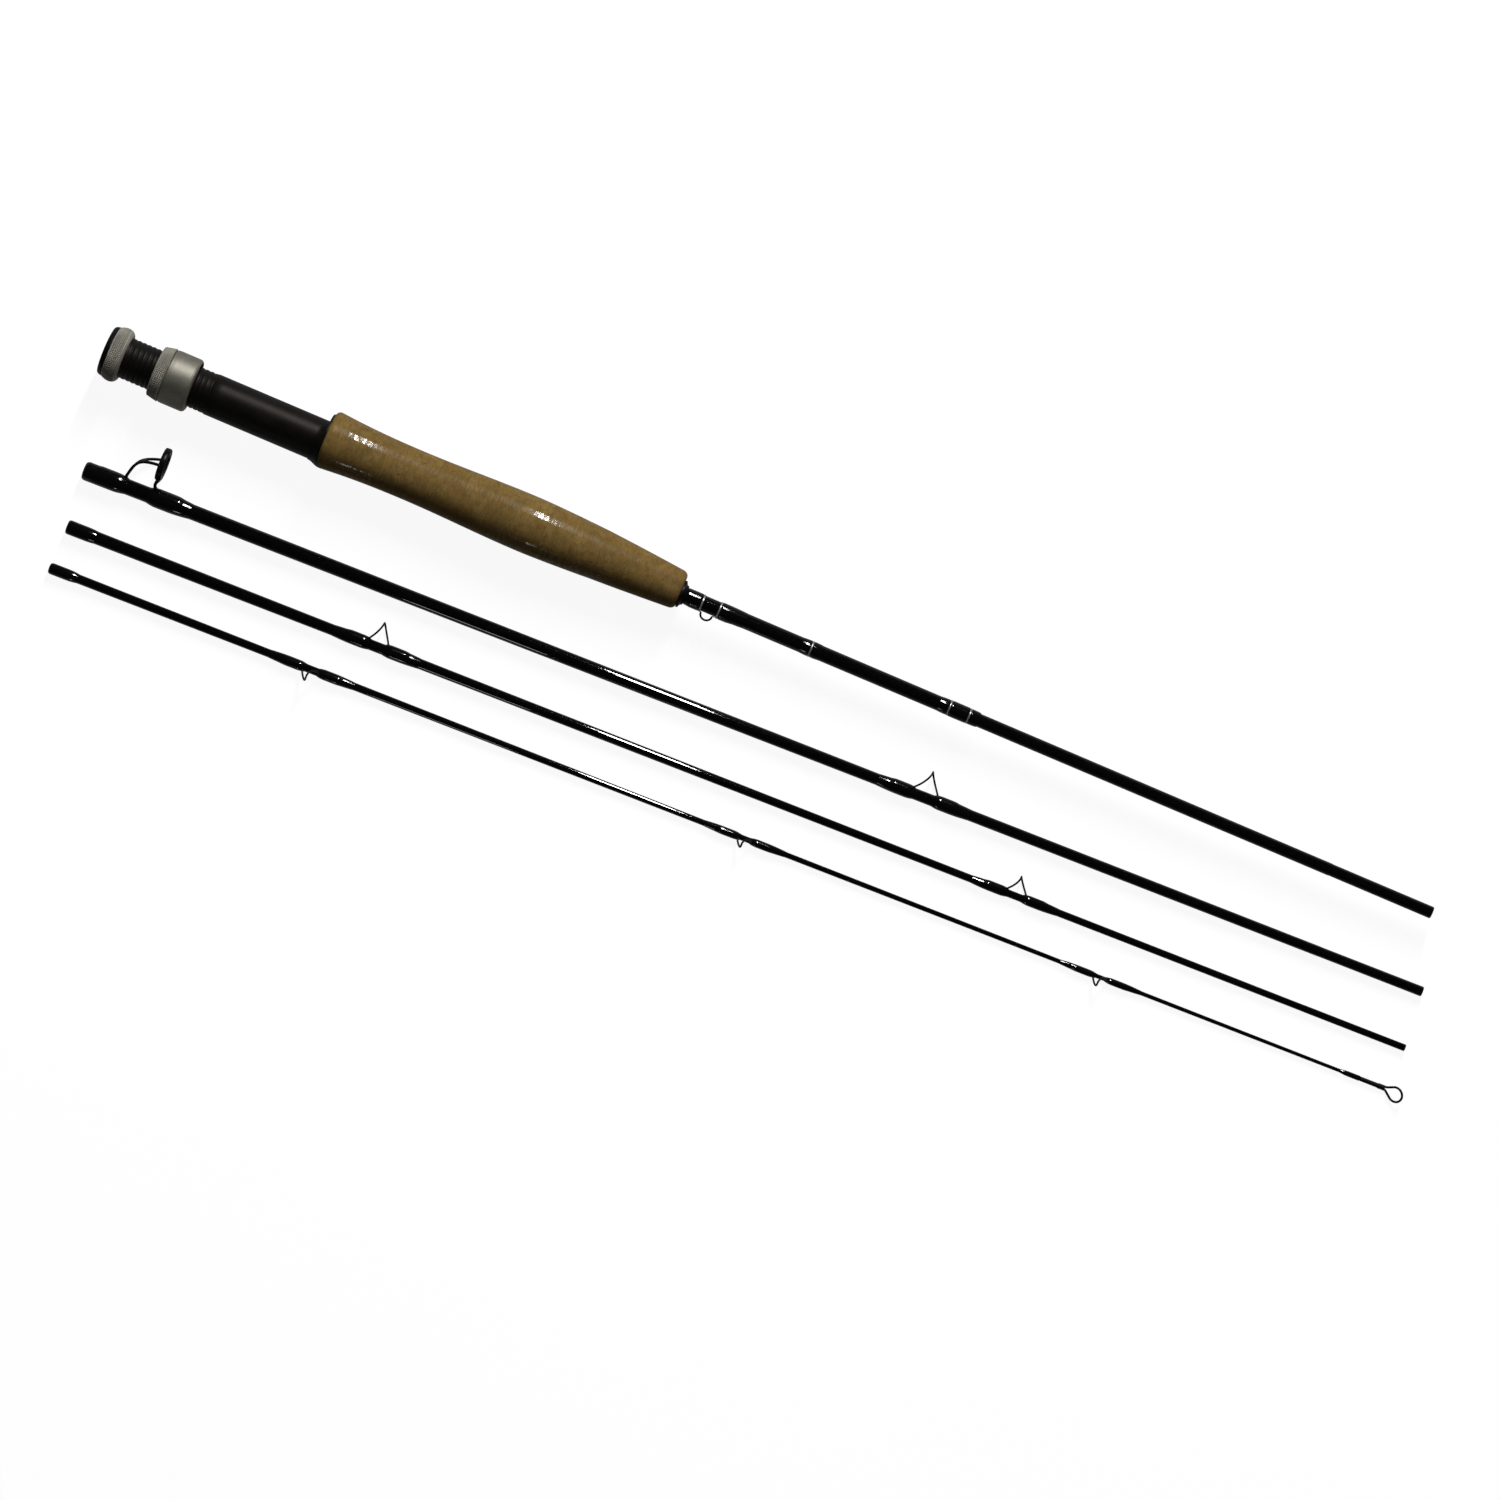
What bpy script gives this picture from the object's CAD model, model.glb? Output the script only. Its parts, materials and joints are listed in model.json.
"""Looks of a four-piece fly rod that lies taken apart on a pale table.

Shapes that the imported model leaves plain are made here: the helical screw thread, the knurled
rings, the rounded cap, the one-piece grip, the wraps under their epoxy and the wires of the
guides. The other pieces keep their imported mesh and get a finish. Lengths in tables are in
millimetres along a section, whose rear end is x = 0 and whose guides stand on +Z; a section is
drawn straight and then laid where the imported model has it.
"""

import json
from math import asin, atan, atan2, cos, hypot, pi, radians, sin, sqrt

import bmesh
import bpy
import numpy as np
from bpy.props import FloatProperty, FloatVectorProperty, IntProperty, PointerProperty
from mathutils import Matrix, Vector


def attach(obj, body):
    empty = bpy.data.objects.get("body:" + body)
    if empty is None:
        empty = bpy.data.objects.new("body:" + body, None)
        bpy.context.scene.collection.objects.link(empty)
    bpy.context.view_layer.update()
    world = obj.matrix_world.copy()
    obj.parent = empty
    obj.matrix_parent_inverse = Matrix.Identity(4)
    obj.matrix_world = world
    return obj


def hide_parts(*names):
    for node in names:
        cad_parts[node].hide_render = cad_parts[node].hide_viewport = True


bl_info = {
    "name": "Four-piece fly rod",
    "version": (1, 0, 0),
    "blender": (4, 5, 0),
    "location": "3D View > Sidebar > Fly Rod",
    "description": "Finishes a packed fly rod with its thread, knurls, guides, cork and lacquer",
    "category": "Object",
}

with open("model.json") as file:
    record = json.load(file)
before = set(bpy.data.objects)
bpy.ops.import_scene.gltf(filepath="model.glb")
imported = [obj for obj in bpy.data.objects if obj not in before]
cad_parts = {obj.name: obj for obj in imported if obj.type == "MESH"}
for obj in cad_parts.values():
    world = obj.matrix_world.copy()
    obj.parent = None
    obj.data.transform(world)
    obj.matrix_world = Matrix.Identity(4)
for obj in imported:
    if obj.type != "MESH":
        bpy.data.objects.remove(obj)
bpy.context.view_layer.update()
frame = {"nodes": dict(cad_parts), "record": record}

MM = 0.001
TURN = 2 * pi
SHARP_ANGLE = radians(40)


def srgb(red, green, blue):
    """A screen colour, 0 to 255, as the linear colour that Blender mixes."""
    return tuple(
        c / 12.92 if c <= 0.04045 else ((c + 0.055) / 1.055) ** 2.4
        for c in (red / 255, green / 255, blue / 255)
    )


# ---- Where each section lies ----
# Mount that gives a section's line, its distance in millimetres from the section's rear end, and
# the section's roll in degrees
SECTION_LINES = {
    "butt": ("butt_ferrule", 580.85, -90),
    "second": ("second_socket", 24, -77.8014),
    "third": ("third_socket", 24, -76.5),
    "tip": ("tip_socket", 24, 25),
}


def section_place(section):
    """Rear end of a section, its yaw, pitch and roll in radians, and its matrix."""
    mount_name, reach, roll = SECTION_LINES[section]
    mount = next(m for m in frame["record"]["mounts"] if m["name"] == mount_name)
    along = Vector(mount["axis"]).normalized()
    if along.x < 0:
        along.negate()
    start = Vector(mount["pos_m"]) - along * reach * MM
    turns = (radians(roll), asin(-along.z), atan2(along.y, along.x))
    matrix = Matrix.Translation(start)
    for turn, axis in zip(reversed(turns), "ZYX"):
        matrix = matrix @ Matrix.Rotation(turn, 4, axis)
    return start, turns, matrix


PLACES = {section: section_place(section) for section in SECTION_LINES}


# ---- Sizes in millimetres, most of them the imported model's ----
GLUE = 0.02  # left between glued pieces

CAP_END = 2.3
CAP_RIM_R, CAP_RIM = 9.7, 1.2
BARREL_X, BARREL_END, BARREL_R = 3.5, 110.6, 9.03
BARREL_WALL = 1.43
THREAD_START, THREAD_END, THREAD_R = 9.1, 47.7, 8.85
RING_CREST, RING_END, RING_R = 5.7, 8.8, BARREL_R + 2.9
NUT_REAR, NUT_FRONT, NUT_R = 22.7, 27.7, BARREL_R + 2.87
NUT_CONE = 0.95  # by which the locking ring is thinner at the rear

GRIP_X, GRIP_LEN, GRIP_RINGS = 99.4, 162, 13
GRIP_REAR_R, GRIP_WAIST_R, GRIP_PALM_R, GRIP_FRONT_R = 12.6, 11.05, 12.2, 8.35
# Where the rear swell ends, the waist is and the palm swell is, as shares of the length
GRIP_REAR, GRIP_WAIST, GRIP_PALM = 0.015, 0.24, 0.57
GRIP_REAR_ROUND, GRIP_FRONT_ROUND, GRIP_DROP = 2, 2.6, 2  # lengths and depth of the roundings
GRIP_SHIFT, GRIP_FRONT_SHIFT = 1.75, 1.1  # how far its axis stands off the rod's
CUP_R, CUP_END, CUP_SHIFT = 11.0, 111.6, 1.6

# Place of each blank's shoulder or tip, and its radii at even steps from the rear end to there
BLANK_RADII = {
    "butt": (557, (3.68, 3.28, 2.93, 2.68)),
    "second": (557, (3.42, 2.94, 2.45, 2.18)),
    "third": (557, (2.8, 2.14, 1.7, 1.44)),
    "tip": (599.5, (2.03, 1.49, 1.05, 0.74)),
}
FINISH_T = 0.25  # clear coat on the butt blank

WRAP_T, BUTT_WRAP_T, STRIP_WRAP_T = 0.48, 0.3, 0.68
WRAP_EDGE = 0.04  # thickness at which a wrap's ramp ends
WRAP_LIFT = 0.25  # by which a wrap rises over a guide's foot
RIM_OUT, RIM_IN = 0.3, 0.45  # how far epoxy reaches behind a rear end's rim, and inwards over it
FERRULE_WRAP = 12.6
KEEPER_WRAP = 263.86
COAT_WRAP, COAT_WRAP_END = 384.24, 392.42
REAR_BAND, FRONT_BAND, BAND_W = 271.02, 278.82, 0.7
# Where epoxy is domed up to a trim band: rear end of each dome and its two ramps
BAND_DOMES = ((316.5, (3.6, 0.3)), (321.24, (0.3, 3)), (379.5, (3.6, 0.3)), (393.16, (0.3, 3)))

# Section, place of the middle, height, spread of the feet and lean towards the butt
SNAKE_GUIDES = [
    ("second", 378.587, 8.9, 11, 0.1),
    ("third", 139.403, 8.4, 8.8, 0.4),
    ("third", 427.632, 6.9, 8.8, 0.4),
    ("tip", 118.203, 6.5, 7.8, 0.7),
    ("tip", 314.020, 5.1, 6.6, 0.7),
    ("tip", 474.502, 5.2, 6.4, 0.7),
]
SNAKE_WIRE, SNAKE_FOOT, FOOT_T = 0.42, 10, 0.34

STRIP_AT, STRIP_H, STRIP_R, STRIP_RING_T = 30.3, 14.6, 7.2, 0.8
STRIP_REAR, STRIP_FOOT_T = STRIP_AT - 11.4, 0.4
# A strut's way from the foot to the ring: place against the ring's middle, and half-width
STRIP_STRUT = (
    (-13.2, 0.6, -10.9, 0.95), (-12.6, 0.9, -8.6, 0.95), (-11.6, 1.5, -5.4, 0.92),
    (-10.1, 2.3, -3.0, 0.9), (-8.1, 3.3, -1.5, 0.88), (-5.8, 4.5, -0.6, 0.85),
    (-3.4, 5.6, 0.0, 0.8), (-0.9, 6.7, 0.4, 0.76),
)

KEEPER_AT, KEEPER_R, KEEPER_H, KEEPER_WIRE, KEEPER_TOE = 274.82, 2.5, 2.25, 0.44, 6.1
TUBE_END, LOOP_R, LOOP_REACH, LOOP_WIRE, LEG_W = 603, 3.22, 5.1, 0.5, 0.74
LOOP_LEAN = radians(25)

# ---- The stage, in metres ----
CAMERA_X, CAMERA_Y = 0.0017, -0.0146
# Name of each lamp, the setting with its power, its place, and its width and height
LAMPS = (
    ("window", "key", (-0.06, 1.9, 1.49), (0.08, 0.95)),
    ("low light", "fill", (-0.22, -2.3, 0.57), (0.12, 0.35)),
)
TABLE_CORNERS = ((-1, -1), (1, -1), (1, 1), (-1, 1))
TABLE_HALF, TABLE_DROP = 6.0, 0.0002
TABLE_DARK, TABLE_LIGHT = (0.13, 0.13, 0.13), (0.15, 0.15, 0.15)
TABLE_GLOW = 0.93  # brightness of the table where the background is seen
GLOSS_SHARE = 0.3  # share of that brightness in gloss
SKY_LEVEL, SKY_FALL = 0.1, 0.08  # light from the horizon, and what is off it overhead


# ---- Settings ----
def length(name, description, default):
    return FloatProperty(
        name=name, description=description, default=default * MM, min=0, unit="LENGTH", precision=5
    )


def colour(name, description, default):
    return FloatVectorProperty(
        name=name, description=description, default=default, min=0, max=1, size=3, subtype="COLOR"
    )


class RodSizes(bpy.types.PropertyGroup):
    thread_pitch: length("Screw pitch", "Advance of the barrel's screw thread in one turn", 2.2)
    thread_depth: length("Screw depth", "Depth of the barrel's screw thread", 0.28)
    knurl_pitch: length("Knurl pitch", "Length of a knurl's diamond along the rod", 1.05)
    knurl_depth: length("Knurl depth", "Depth of the knurl's grooves", 0.32)
    knurl_count: IntProperty(
        name="Knurl count", description="Diamonds round a knurled ring", default=71, min=24, max=160
    )
    wire_sides: IntProperty(
        name="Wire sides", description="Faces round a guide's wire", default=16, min=6, max=32
    )
    cork_ring: length("Cork ring", "Length of one ring of the grip", GRIP_LEN / GRIP_RINGS)
    winding_pitch: length("Winding pitch", "Distance between turns of the wrapping thread", 0.2)
    ridge_pitch: length("Ridge pitch", "Advance of the tape ridges under the lacquer", 3.4)


class RodColours(bpy.types.PropertyGroup):
    lacquer: colour("Lacquer", "Gloss lacquer of the blanks", (0.002, 0.002, 0.0022))
    thread: colour("Thread", "Wrapping thread under its epoxy", (0.0022, 0.0022, 0.0024))
    silver: colour("Silver", "Satin aluminium of the ring and hood", srgb(158, 155, 142))
    black: colour("Black", "Satin black of the barrel and fixed hood", (0.0045, 0.0042, 0.0038))
    rubber: colour("Cap", "Moulded butt cap and winding check", (0.003, 0.003, 0.003))
    cork: colour("Cork", "Middle tone of the cork", srgb(133, 109, 63))
    cork_dark: colour("Cork pores", "Pores and dark grain of the cork", srgb(74, 54, 28))
    wire: colour("Wire", "Black plating of the guides", (0.0035, 0.0035, 0.0038))
    ceramic: colour("Ceramic", "Ring in the stripping guide", (0.012, 0.011, 0.01))
    band: colour("Bands", "Metallic thread of the trim bands", srgb(170, 170, 165))


class RodStage(bpy.types.PropertyGroup):
    focal: FloatProperty(
        name="Focal length", description="Camera lens, in millimetres", default=147
    )
    height: FloatProperty(
        name="Camera height", description="Camera over the table", default=2.58, unit="LENGTH"
    )
    turn: FloatProperty(
        name="Camera turn",
        description="How far the picture is turned from the rod's length",
        default=radians(21.3),
        subtype="ANGLE",
    )
    key: FloatProperty(name="Window", description="Tall key light, in watts", default=52)
    fill: FloatProperty(name="Low light", description="Low light, in watts", default=1.4)


# ---- Node trees ----
def math_node(operation, flip=False):
    """A method that adds a Math node; flip swaps its numbers."""

    def method(self, *others):
        values = (*others, self) if flip else (self, *others)
        return self.graph.node("ShaderNodeMath", {"operation": operation}, values)

    return method


class Value:
    """An output socket. Arithmetic on it adds Math nodes."""

    def __init__(self, graph, socket):
        self.graph, self.socket = graph, socket

    __add__ = __radd__ = math_node("ADD")
    __sub__, __rsub__ = math_node("SUBTRACT"), math_node("SUBTRACT", flip=True)
    __mul__ = __rmul__ = math_node("MULTIPLY")
    __truediv__, __pow__ = math_node("DIVIDE"), math_node("POWER")
    __lt__, __abs__ = math_node("LESS_THAN"), math_node("ABSOLUTE")
    part, floor = math_node("FRACT"), math_node("FLOOR")
    least, most = math_node("MINIMUM"), math_node("MAXIMUM")
    cosine, sine, arctan2 = math_node("COSINE"), math_node("SINE"), math_node("ARCTAN2")

    def span(self, low, high):
        """0 below low, 1 above high and straight between them."""
        return ((self - low) / (high - low)).most(0).least(1)


class Graph:
    """A node tree that is written as expressions."""

    def __init__(self, tree):
        self.tree = tree

    def node(self, kind, settings=None, values=(), out=0):
        """Adds a node, with its settings first, then the values or links of its inputs."""
        new = self.tree.nodes.new(kind)
        for key, value in (settings or {}).items():
            setattr(new, key, value)
        for key, value in values.items() if isinstance(values, dict) else enumerate(values):
            if isinstance(value, Value):
                self.tree.links.new(value.socket, new.inputs[key])
            elif value is not None:
                new.inputs[key].default_value = value
        return Value(self, new.outputs[out]) if len(new.outputs) else None

    def outputs(self, value):
        """Every output of the node behind a value, by name."""
        return {socket.name: Value(self, socket) for socket in value.socket.node.outputs}

    def separate(self, vector):
        return list(self.outputs(self.node("ShaderNodeSeparateXYZ", None, [vector])).values())

    def combine(self, x, y, z):
        return self.node("ShaderNodeCombineXYZ", None, [x, y, z])

    def vector(self, operation, first, second):
        return self.node("ShaderNodeVectorMath", {"operation": operation}, [first, second])

    def mix(self, share, first, second):
        """A colour between two, which are colours or three numbers."""
        first, second = (v if isinstance(v, Value) else (*v, 1) for v in (first, second))
        return self.node("ShaderNodeMix", {"data_type": "RGBA"}, {0: share, 6: first, 7: second}, 2)


def emptied(owner):
    """The node tree of a material or world, without its nodes."""
    owner.use_nodes = True
    owner.node_tree.nodes.clear()
    return owner.node_tree


# ---- Shapes made by Geometry Nodes ----
class Shaper(Graph):
    """A Geometry Nodes tree with named inputs, ended by Realize Instances and Set Material."""

    def __init__(self, name, sizes):
        super().__init__(bpy.data.node_groups.new(name, "GeometryNodeTree"))
        kinds = {"Source": "Geometry", "Material": "Material"}
        for label, size in sizes.items():
            kinds[label] = "Int" if isinstance(size, int) else "Float"
        new_socket = self.tree.interface.new_socket
        for label, kind in kinds.items():
            item = new_socket(label, in_out="INPUT", socket_type="NodeSocket" + kind)
            if label in sizes:
                item.default_value = sizes[label]
        new_socket("Mesh", in_out="OUTPUT", socket_type="NodeSocketGeometry")
        self.size = self.outputs(self.node("NodeGroupInput"))

    def named(self, name, kind="FLOAT"):
        return self.node("GeometryNodeInputNamedAttribute", {"data_type": kind}, {"Name": name})

    def at_row(self, name, row, kind="FLOAT"):
        """What the source's point of that number has as an attribute."""
        return self.node(
            "GeometryNodeSampleIndex",
            {"data_type": kind, "domain": "POINT"},
            {"Geometry": self.size["Source"], "Value": self.named(name, kind), "Index": row},
        )

    def change(self, mesh, kind, settings=None, **values):
        """The mesh behind a node that changes it."""
        return self.node("GeometryNode" + kind, settings, {"Geometry": mesh, **values})

    def store(self, mesh, name, value):
        settings = {"data_type": "FLOAT", "domain": "POINT"}
        return self.change(mesh, "StoreNamedAttribute", settings, Name=name, Value=value)

    def rows_and_turns(self, around):
        """A grid with a row for each source point: its mesh, row number and turn in radians."""
        count = self.change(self.size["Source"], "AttributeDomainSize", {"component": "MESH"})
        grid = self.node(
            "GeometryNodeMeshGrid", None, {"Vertices X": count, "Vertices Y": around + 1}
        )
        index = self.node("GeometryNodeInputIndex")
        row = (index / (around + 1) + 1e-5).floor()
        turn = (index - row * (around + 1)) / around * TURN
        return grid, row, turn

    def finish(self, mesh):
        mesh = self.change(mesh, "MergeByDistance", Distance=1e-6)
        mesh = self.change(mesh, "RealizeInstances")
        mesh = self.change(mesh, "SetMaterial", Material=self.size["Material"])
        self.node("NodeGroupOutput", None, [mesh])
        return self.tree


def turned_tree(name, relief, sizes):
    """Turns an outline, given as points (x, radius, offset), round the X axis. relief gives what
    the surface pattern adds to the radius and how deep in a groove that is, from 0 to 1. The
    source's attribute "relief" says where the pattern applies, and the finished mesh keeps the
    depth as its attribute "groove"."""
    shaper = Shaper(name, sizes)
    mesh, row, turn = shaper.rows_and_turns(shaper.size["Segments"])
    x, radius, offset = shaper.separate(shaper.at_row("position", row, "FLOAT_VECTOR"))
    share = shaper.at_row("relief", row)
    height, depth = relief(x, turn, shaper.size)
    mesh = shaper.store(mesh, "groove", depth * share)
    radius = radius + share * height
    place = shaper.combine(x, radius * turn.cosine(), radius * turn.sine() + offset)
    return shaper.finish(shaper.change(mesh, "SetPosition", Position=place))


def screw_thread(x, turn, size):
    """A right-hand thread with flat crests, cut down from the outline."""
    flank = 0.35
    phase = ((x - size["End"]) / size["Pitch"] - turn / TURN).part()
    groove = 1 - (phase.least(1 - phase) / flank).least(1)
    return groove * size["Depth"] * -1, groove


def knurled_ring(x, turn, size):
    """Two crossing sets of grooves that leave pointed diamonds."""
    around, along = turn / TURN * size["Count"], x / size["Pitch"]
    first, second = (abs((around + side * along).part() - 0.5) * 2 for side in (1, -1))
    groove = first.most(second) ** 1.4
    return groove * size["Depth"] * -1, groove


def thread_wrap(x, turn, size):
    """A wrap is lifted over the foot of a guide, on the side where Side times Z is positive."""
    over_foot = (turn.sine() * size["Side"]).most(0) ** 1.5
    return over_foot * size["Lift"], over_foot * 0


def plain_surface(x, turn, size):
    return x * 0, x * 0


def wire_tree(sizes):
    """Skins wires: each source point has the two half-widths of the wire there, and its number."""
    shaper = Shaper("Swept wire", sizes)
    mesh, row, turn = shaper.rows_and_turns(shaper.size["Sides"])
    middle, rise, side = (
        shaper.at_row(name, row, "FLOAT_VECTOR") for name in ("position", "rise", "side")
    )
    up = shaper.vector("MULTIPLY", rise, turn.cosine())
    across = shaper.vector("MULTIPLY", side, turn.sine())
    place = shaper.vector("ADD", middle, shaper.vector("ADD", up, across))
    mesh = shaper.store(mesh, "number", shaper.at_row("number", row))
    mesh = shaper.change(mesh, "SetPosition", Position=place)
    # A face between two wires reads a number half way between theirs
    stray = abs(shaper.named("number").part() - 0.5) < 0.4
    return shaper.finish(
        shaper.change(mesh, "DeleteGeometry", {"domain": "FACE", "mode": "ALL"}, Selection=stray)
    )


def point_mesh(name, points, **attributes):
    """Loose points, given in millimetres, that carry attributes."""
    mesh = bpy.data.meshes.new(name)
    mesh.from_pydata((points * MM).tolist(), [], [])
    for label, rows in attributes.items():
        kind, key = ("FLOAT", "value") if rows.ndim == 1 else ("FLOAT_VECTOR", "vector")
        mesh.attributes.new(label, kind, "POINT").data.foreach_set(key, rows.ravel())
    return mesh


def outline_source(name, outline):
    """An outline as points (x, radius, offset), with where its relief applies."""
    rows = np.array([(*row, 0, 0)[:4] for row in outline], float)
    return point_mesh(name, rows[:, :3], relief=rows[:, 3])


def unit(rows):
    return rows / np.linalg.norm(rows, axis=-1, keepdims=True)


def wire_rows(path, steps=4):
    """A smooth wire through the rows of a path: x, y, z, the direction of its thickness, and its
    half-thickness and half-width. Returns points, half-thickness vectors and half-width vectors."""
    path = np.array(path, float)
    ends = np.vstack([2 * path[0] - path[1], path, 2 * path[-1] - path[-2]])
    rows = []
    for i in range(1, len(ends) - 2):
        before, here, there, after = ends[i - 1: i + 3]
        for t in np.arange(steps) / steps:
            row = here + (there - here) * t
            row[:3] = 0.5 * (
                2 * here + (there - before) * t
                + (2 * before - 5 * here + 4 * there - after) * t * t
                + (3 * here - before - 3 * there + after) * t ** 3
            )[:3]
            rows.append(row)
    rows = np.array([*rows, path[-1]])
    ahead = unit(np.gradient(rows[:, :3], axis=0))
    out = unit(rows[:, 3:6] - np.sum(rows[:, 3:6] * ahead, axis=1, keepdims=True) * ahead)
    wire = rows[:, :3], out * rows[:, 6:7], np.cross(ahead, out) * rows[:, 7:8]
    arc = np.array([[0.6], [1.1], [pi / 2]])

    def tip(end, direction):
        """A rounded end, closed in a point."""
        point, rise, side = (part[end] for part in wire)
        reach = direction * ahead[end] * rows[end, 6]
        return point + reach * np.sin(arc), rise * np.cos(arc), side * np.cos(arc)

    return [
        np.vstack([rear[::-1], middle, front])
        for rear, middle, front in zip(tip(0, -1), wire, tip(-1, 1))
    ]


def wire_source(name, paths):
    """Wires as loose points that carry what the wire tree reads."""
    made = [wire_rows(path) for path in paths]
    points, rise, side = (np.vstack(rows) for rows in zip(*made))
    number = np.repeat(np.arange(len(made), dtype=float), [len(rows[0]) for rows in made])
    return point_mesh(name, points, rise=rise * MM, side=side * MM, number=number)


def in_scene(name, data):
    """A new object for a mesh, lamp or camera."""
    made = bpy.data.objects.new(name, data)
    bpy.context.scene.collection.objects.link(made)
    return made


def shaped(name, source, tree, values, section, material):
    """The plain mesh that a tree makes of a source, laid where its section lies."""
    maker = in_scene(name, source)
    modifier = maker.modifiers.new("Shape", "NODES")
    modifier.node_group = tree
    values = {**values, "Material": material}
    for item in tree.interface.items_tree:
        if item.in_out == "INPUT" and item.name in values:
            modifier[item.identifier] = values[item.name]
    state = bpy.context.evaluated_depsgraph_get()
    mesh = bpy.data.meshes.new_from_object(
        maker.evaluated_get(state), preserve_all_data_layers=True, depsgraph=state
    )
    bpy.data.objects.remove(maker)
    mesh.transform(PLACES[section][2])
    return cleaned(material, mesh)


def turned(name, outline, section, material, relief=plain_surface, **sizes):
    """The mesh of a turned piece. Pieces whose surface has the same relief share one tree."""
    label = relief.__name__.replace("_", " ").capitalize()
    sizes = {"Segments": 96, **sizes}
    tree = bpy.data.node_groups.get(label) or turned_tree(label, relief, sizes)
    return shaped(name, outline_source(name, outline), tree, sizes, section, material)


def cleaned(material, *meshes):
    """One mesh out of one or several: merges doubles, points faces outwards, rounds the shading
    and leaves one material."""
    work = bmesh.new()
    for mesh in meshes:
        work.from_mesh(mesh)
    bmesh.ops.remove_doubles(work, verts=work.verts, dist=1e-7)
    bmesh.ops.recalc_face_normals(work, faces=work.faces)
    for face in work.faces:
        face.material_index = 0
    whole = bpy.data.meshes.new("whole")
    work.to_mesh(whole)
    work.free()
    whole.materials.append(material)
    whole.shade_smooth()
    whole.set_sharp_from_angle(angle=SHARP_ANGLE)
    return whole


def add_piece(name, mesh, body, slot, *replaced):
    """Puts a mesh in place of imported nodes, on their body."""
    piece = in_scene(name, mesh)
    mesh.name = name
    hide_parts(*replaced)
    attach(piece, body)


def dress(material, *nodes):
    """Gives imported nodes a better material."""
    for node in nodes:
        for slot in frame["nodes"][node].material_slots:
            slot.material = material


# ---- Finishes ----
class Finish(Graph):
    """A material whose patterns run along a section. x, y and z are millimetres in that section."""

    def __init__(self, name, section):
        self.material = bpy.data.materials.new(f"{name}_{section}")
        super().__init__(emptied(self.material))
        start, turns, _ = PLACES[section]
        self.place = self.node(
            "ShaderNodeMapping",
            {"vector_type": "TEXTURE"},
            {
                "Vector": self.node("ShaderNodeTexCoord", None, (), "Object"),
                "Location": tuple(start),
                "Rotation": turns,
                "Scale": (MM, MM, MM),
            },
        )
        self.x, self.y, self.z = self.separate(self.place)
        self.turn = self.z.arctan2(self.y) / TURN
        self.sizes = bpy.context.scene.rod_sizes
        self.colours = bpy.context.scene.rod_colours

    def noise(self, scale, detail=3.0, stretch=(1, 1, 1)):
        """Clouds of 1 / scale millimetres, which stretch makes smaller along x, y and z."""
        place = self.vector("MULTIPLY", self.place, stretch)
        values = {"Vector": place, "Scale": scale, "Detail": detail}
        return self.node("ShaderNodeTexNoise", None, values)

    def cells(self, scale, stretch):
        """The distance from the middle of the nearest cell."""
        place = self.vector("MULTIPLY", self.place, stretch)
        values = {"Vector": place, "Scale": scale, "Randomness": 1.0}
        return self.node("ShaderNodeTexVoronoi", {"feature": "F1"}, values)

    def tones(self, share, shade, low, high):
        """A shade made darker or lighter, from low to high times its light."""
        return self.mix(share, times(shade, low), times(shade, high))

    def bump(self, height, depth, normal=None):
        """Bumps of that depth, in millimetres, where height goes from 0 to 1."""
        values = {"Strength": 1.0, "Distance": depth * MM, "Height": height, "Normal": normal}
        return self.node("ShaderNodeBump", None, values)

    def done(self, **sockets):
        """Ends the material with a shader; underscores in names of sockets stand for spaces."""
        values = {key.replace("_", " "): value for key, value in sockets.items()}
        shader = self.node("ShaderNodeBsdfPrincipled", None, values)
        self.node("ShaderNodeOutputMaterial", None, {"Surface": shader})
        return self.material


def times(shade, by):
    return tuple(min(1.0, c * by) for c in shade)


def lacquered_blank(section, name="lacquer", lumps=0.001):
    """Gloss lacquer over a wound graphite tube, whose tape ridges still show faintly. Thicker
    coats flow into longer lumps, which break a highlight into dashes."""
    m = Finish(name, section)
    ridge = abs((m.x / (m.sizes.ridge_pitch / MM) - m.turn).part() - 0.5) * 2
    flow = m.noise(0.11, 2, (1, 1.6, 1.6))
    ripple = m.noise(0.6, 2)
    specks = m.noise(5.0, 2)
    return m.done(
        Base_Color=m.tones(ripple.span(0.35, 0.7), m.colours.lacquer, 0.6, 1.5),
        Roughness=0.022 + specks.span(0.5, 0.75) * 0.015,
        Specular_IOR_Level=0.3,
        Normal=m.bump(flow, lumps * 8, m.bump(ripple, lumps * 0.5, m.bump(ridge ** 6, 0.0005))),
    )


def wound_thread(section, name="winding", shade=None, metallic=0.0, rough=0.06):
    """Close turns of thread under a thick, slightly lumpy coat of epoxy."""
    m = Finish(name, section)
    shade = shade or m.colours.thread
    turns = abs((m.x / (m.sizes.winding_pitch / MM) + m.turn).part() - 0.5) * 2
    lumps = m.noise(0.28, 1.5)
    strand = m.noise(3.0, 2, (6, 1, 1))
    between = times(shade, 0.4)
    return m.done(
        Base_Color=m.mix(turns.span(0.75, 1.0), m.tones(strand, shade, 0.9, 1.7), between),
        Roughness=rough + strand.span(0.4, 0.8) * 0.05,
        Specular_IOR_Level=0.3,
        Metallic=metallic,
        Normal=m.bump(lumps, 0.008, m.bump(turns ** 3, 0.0007)),
    )


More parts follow.
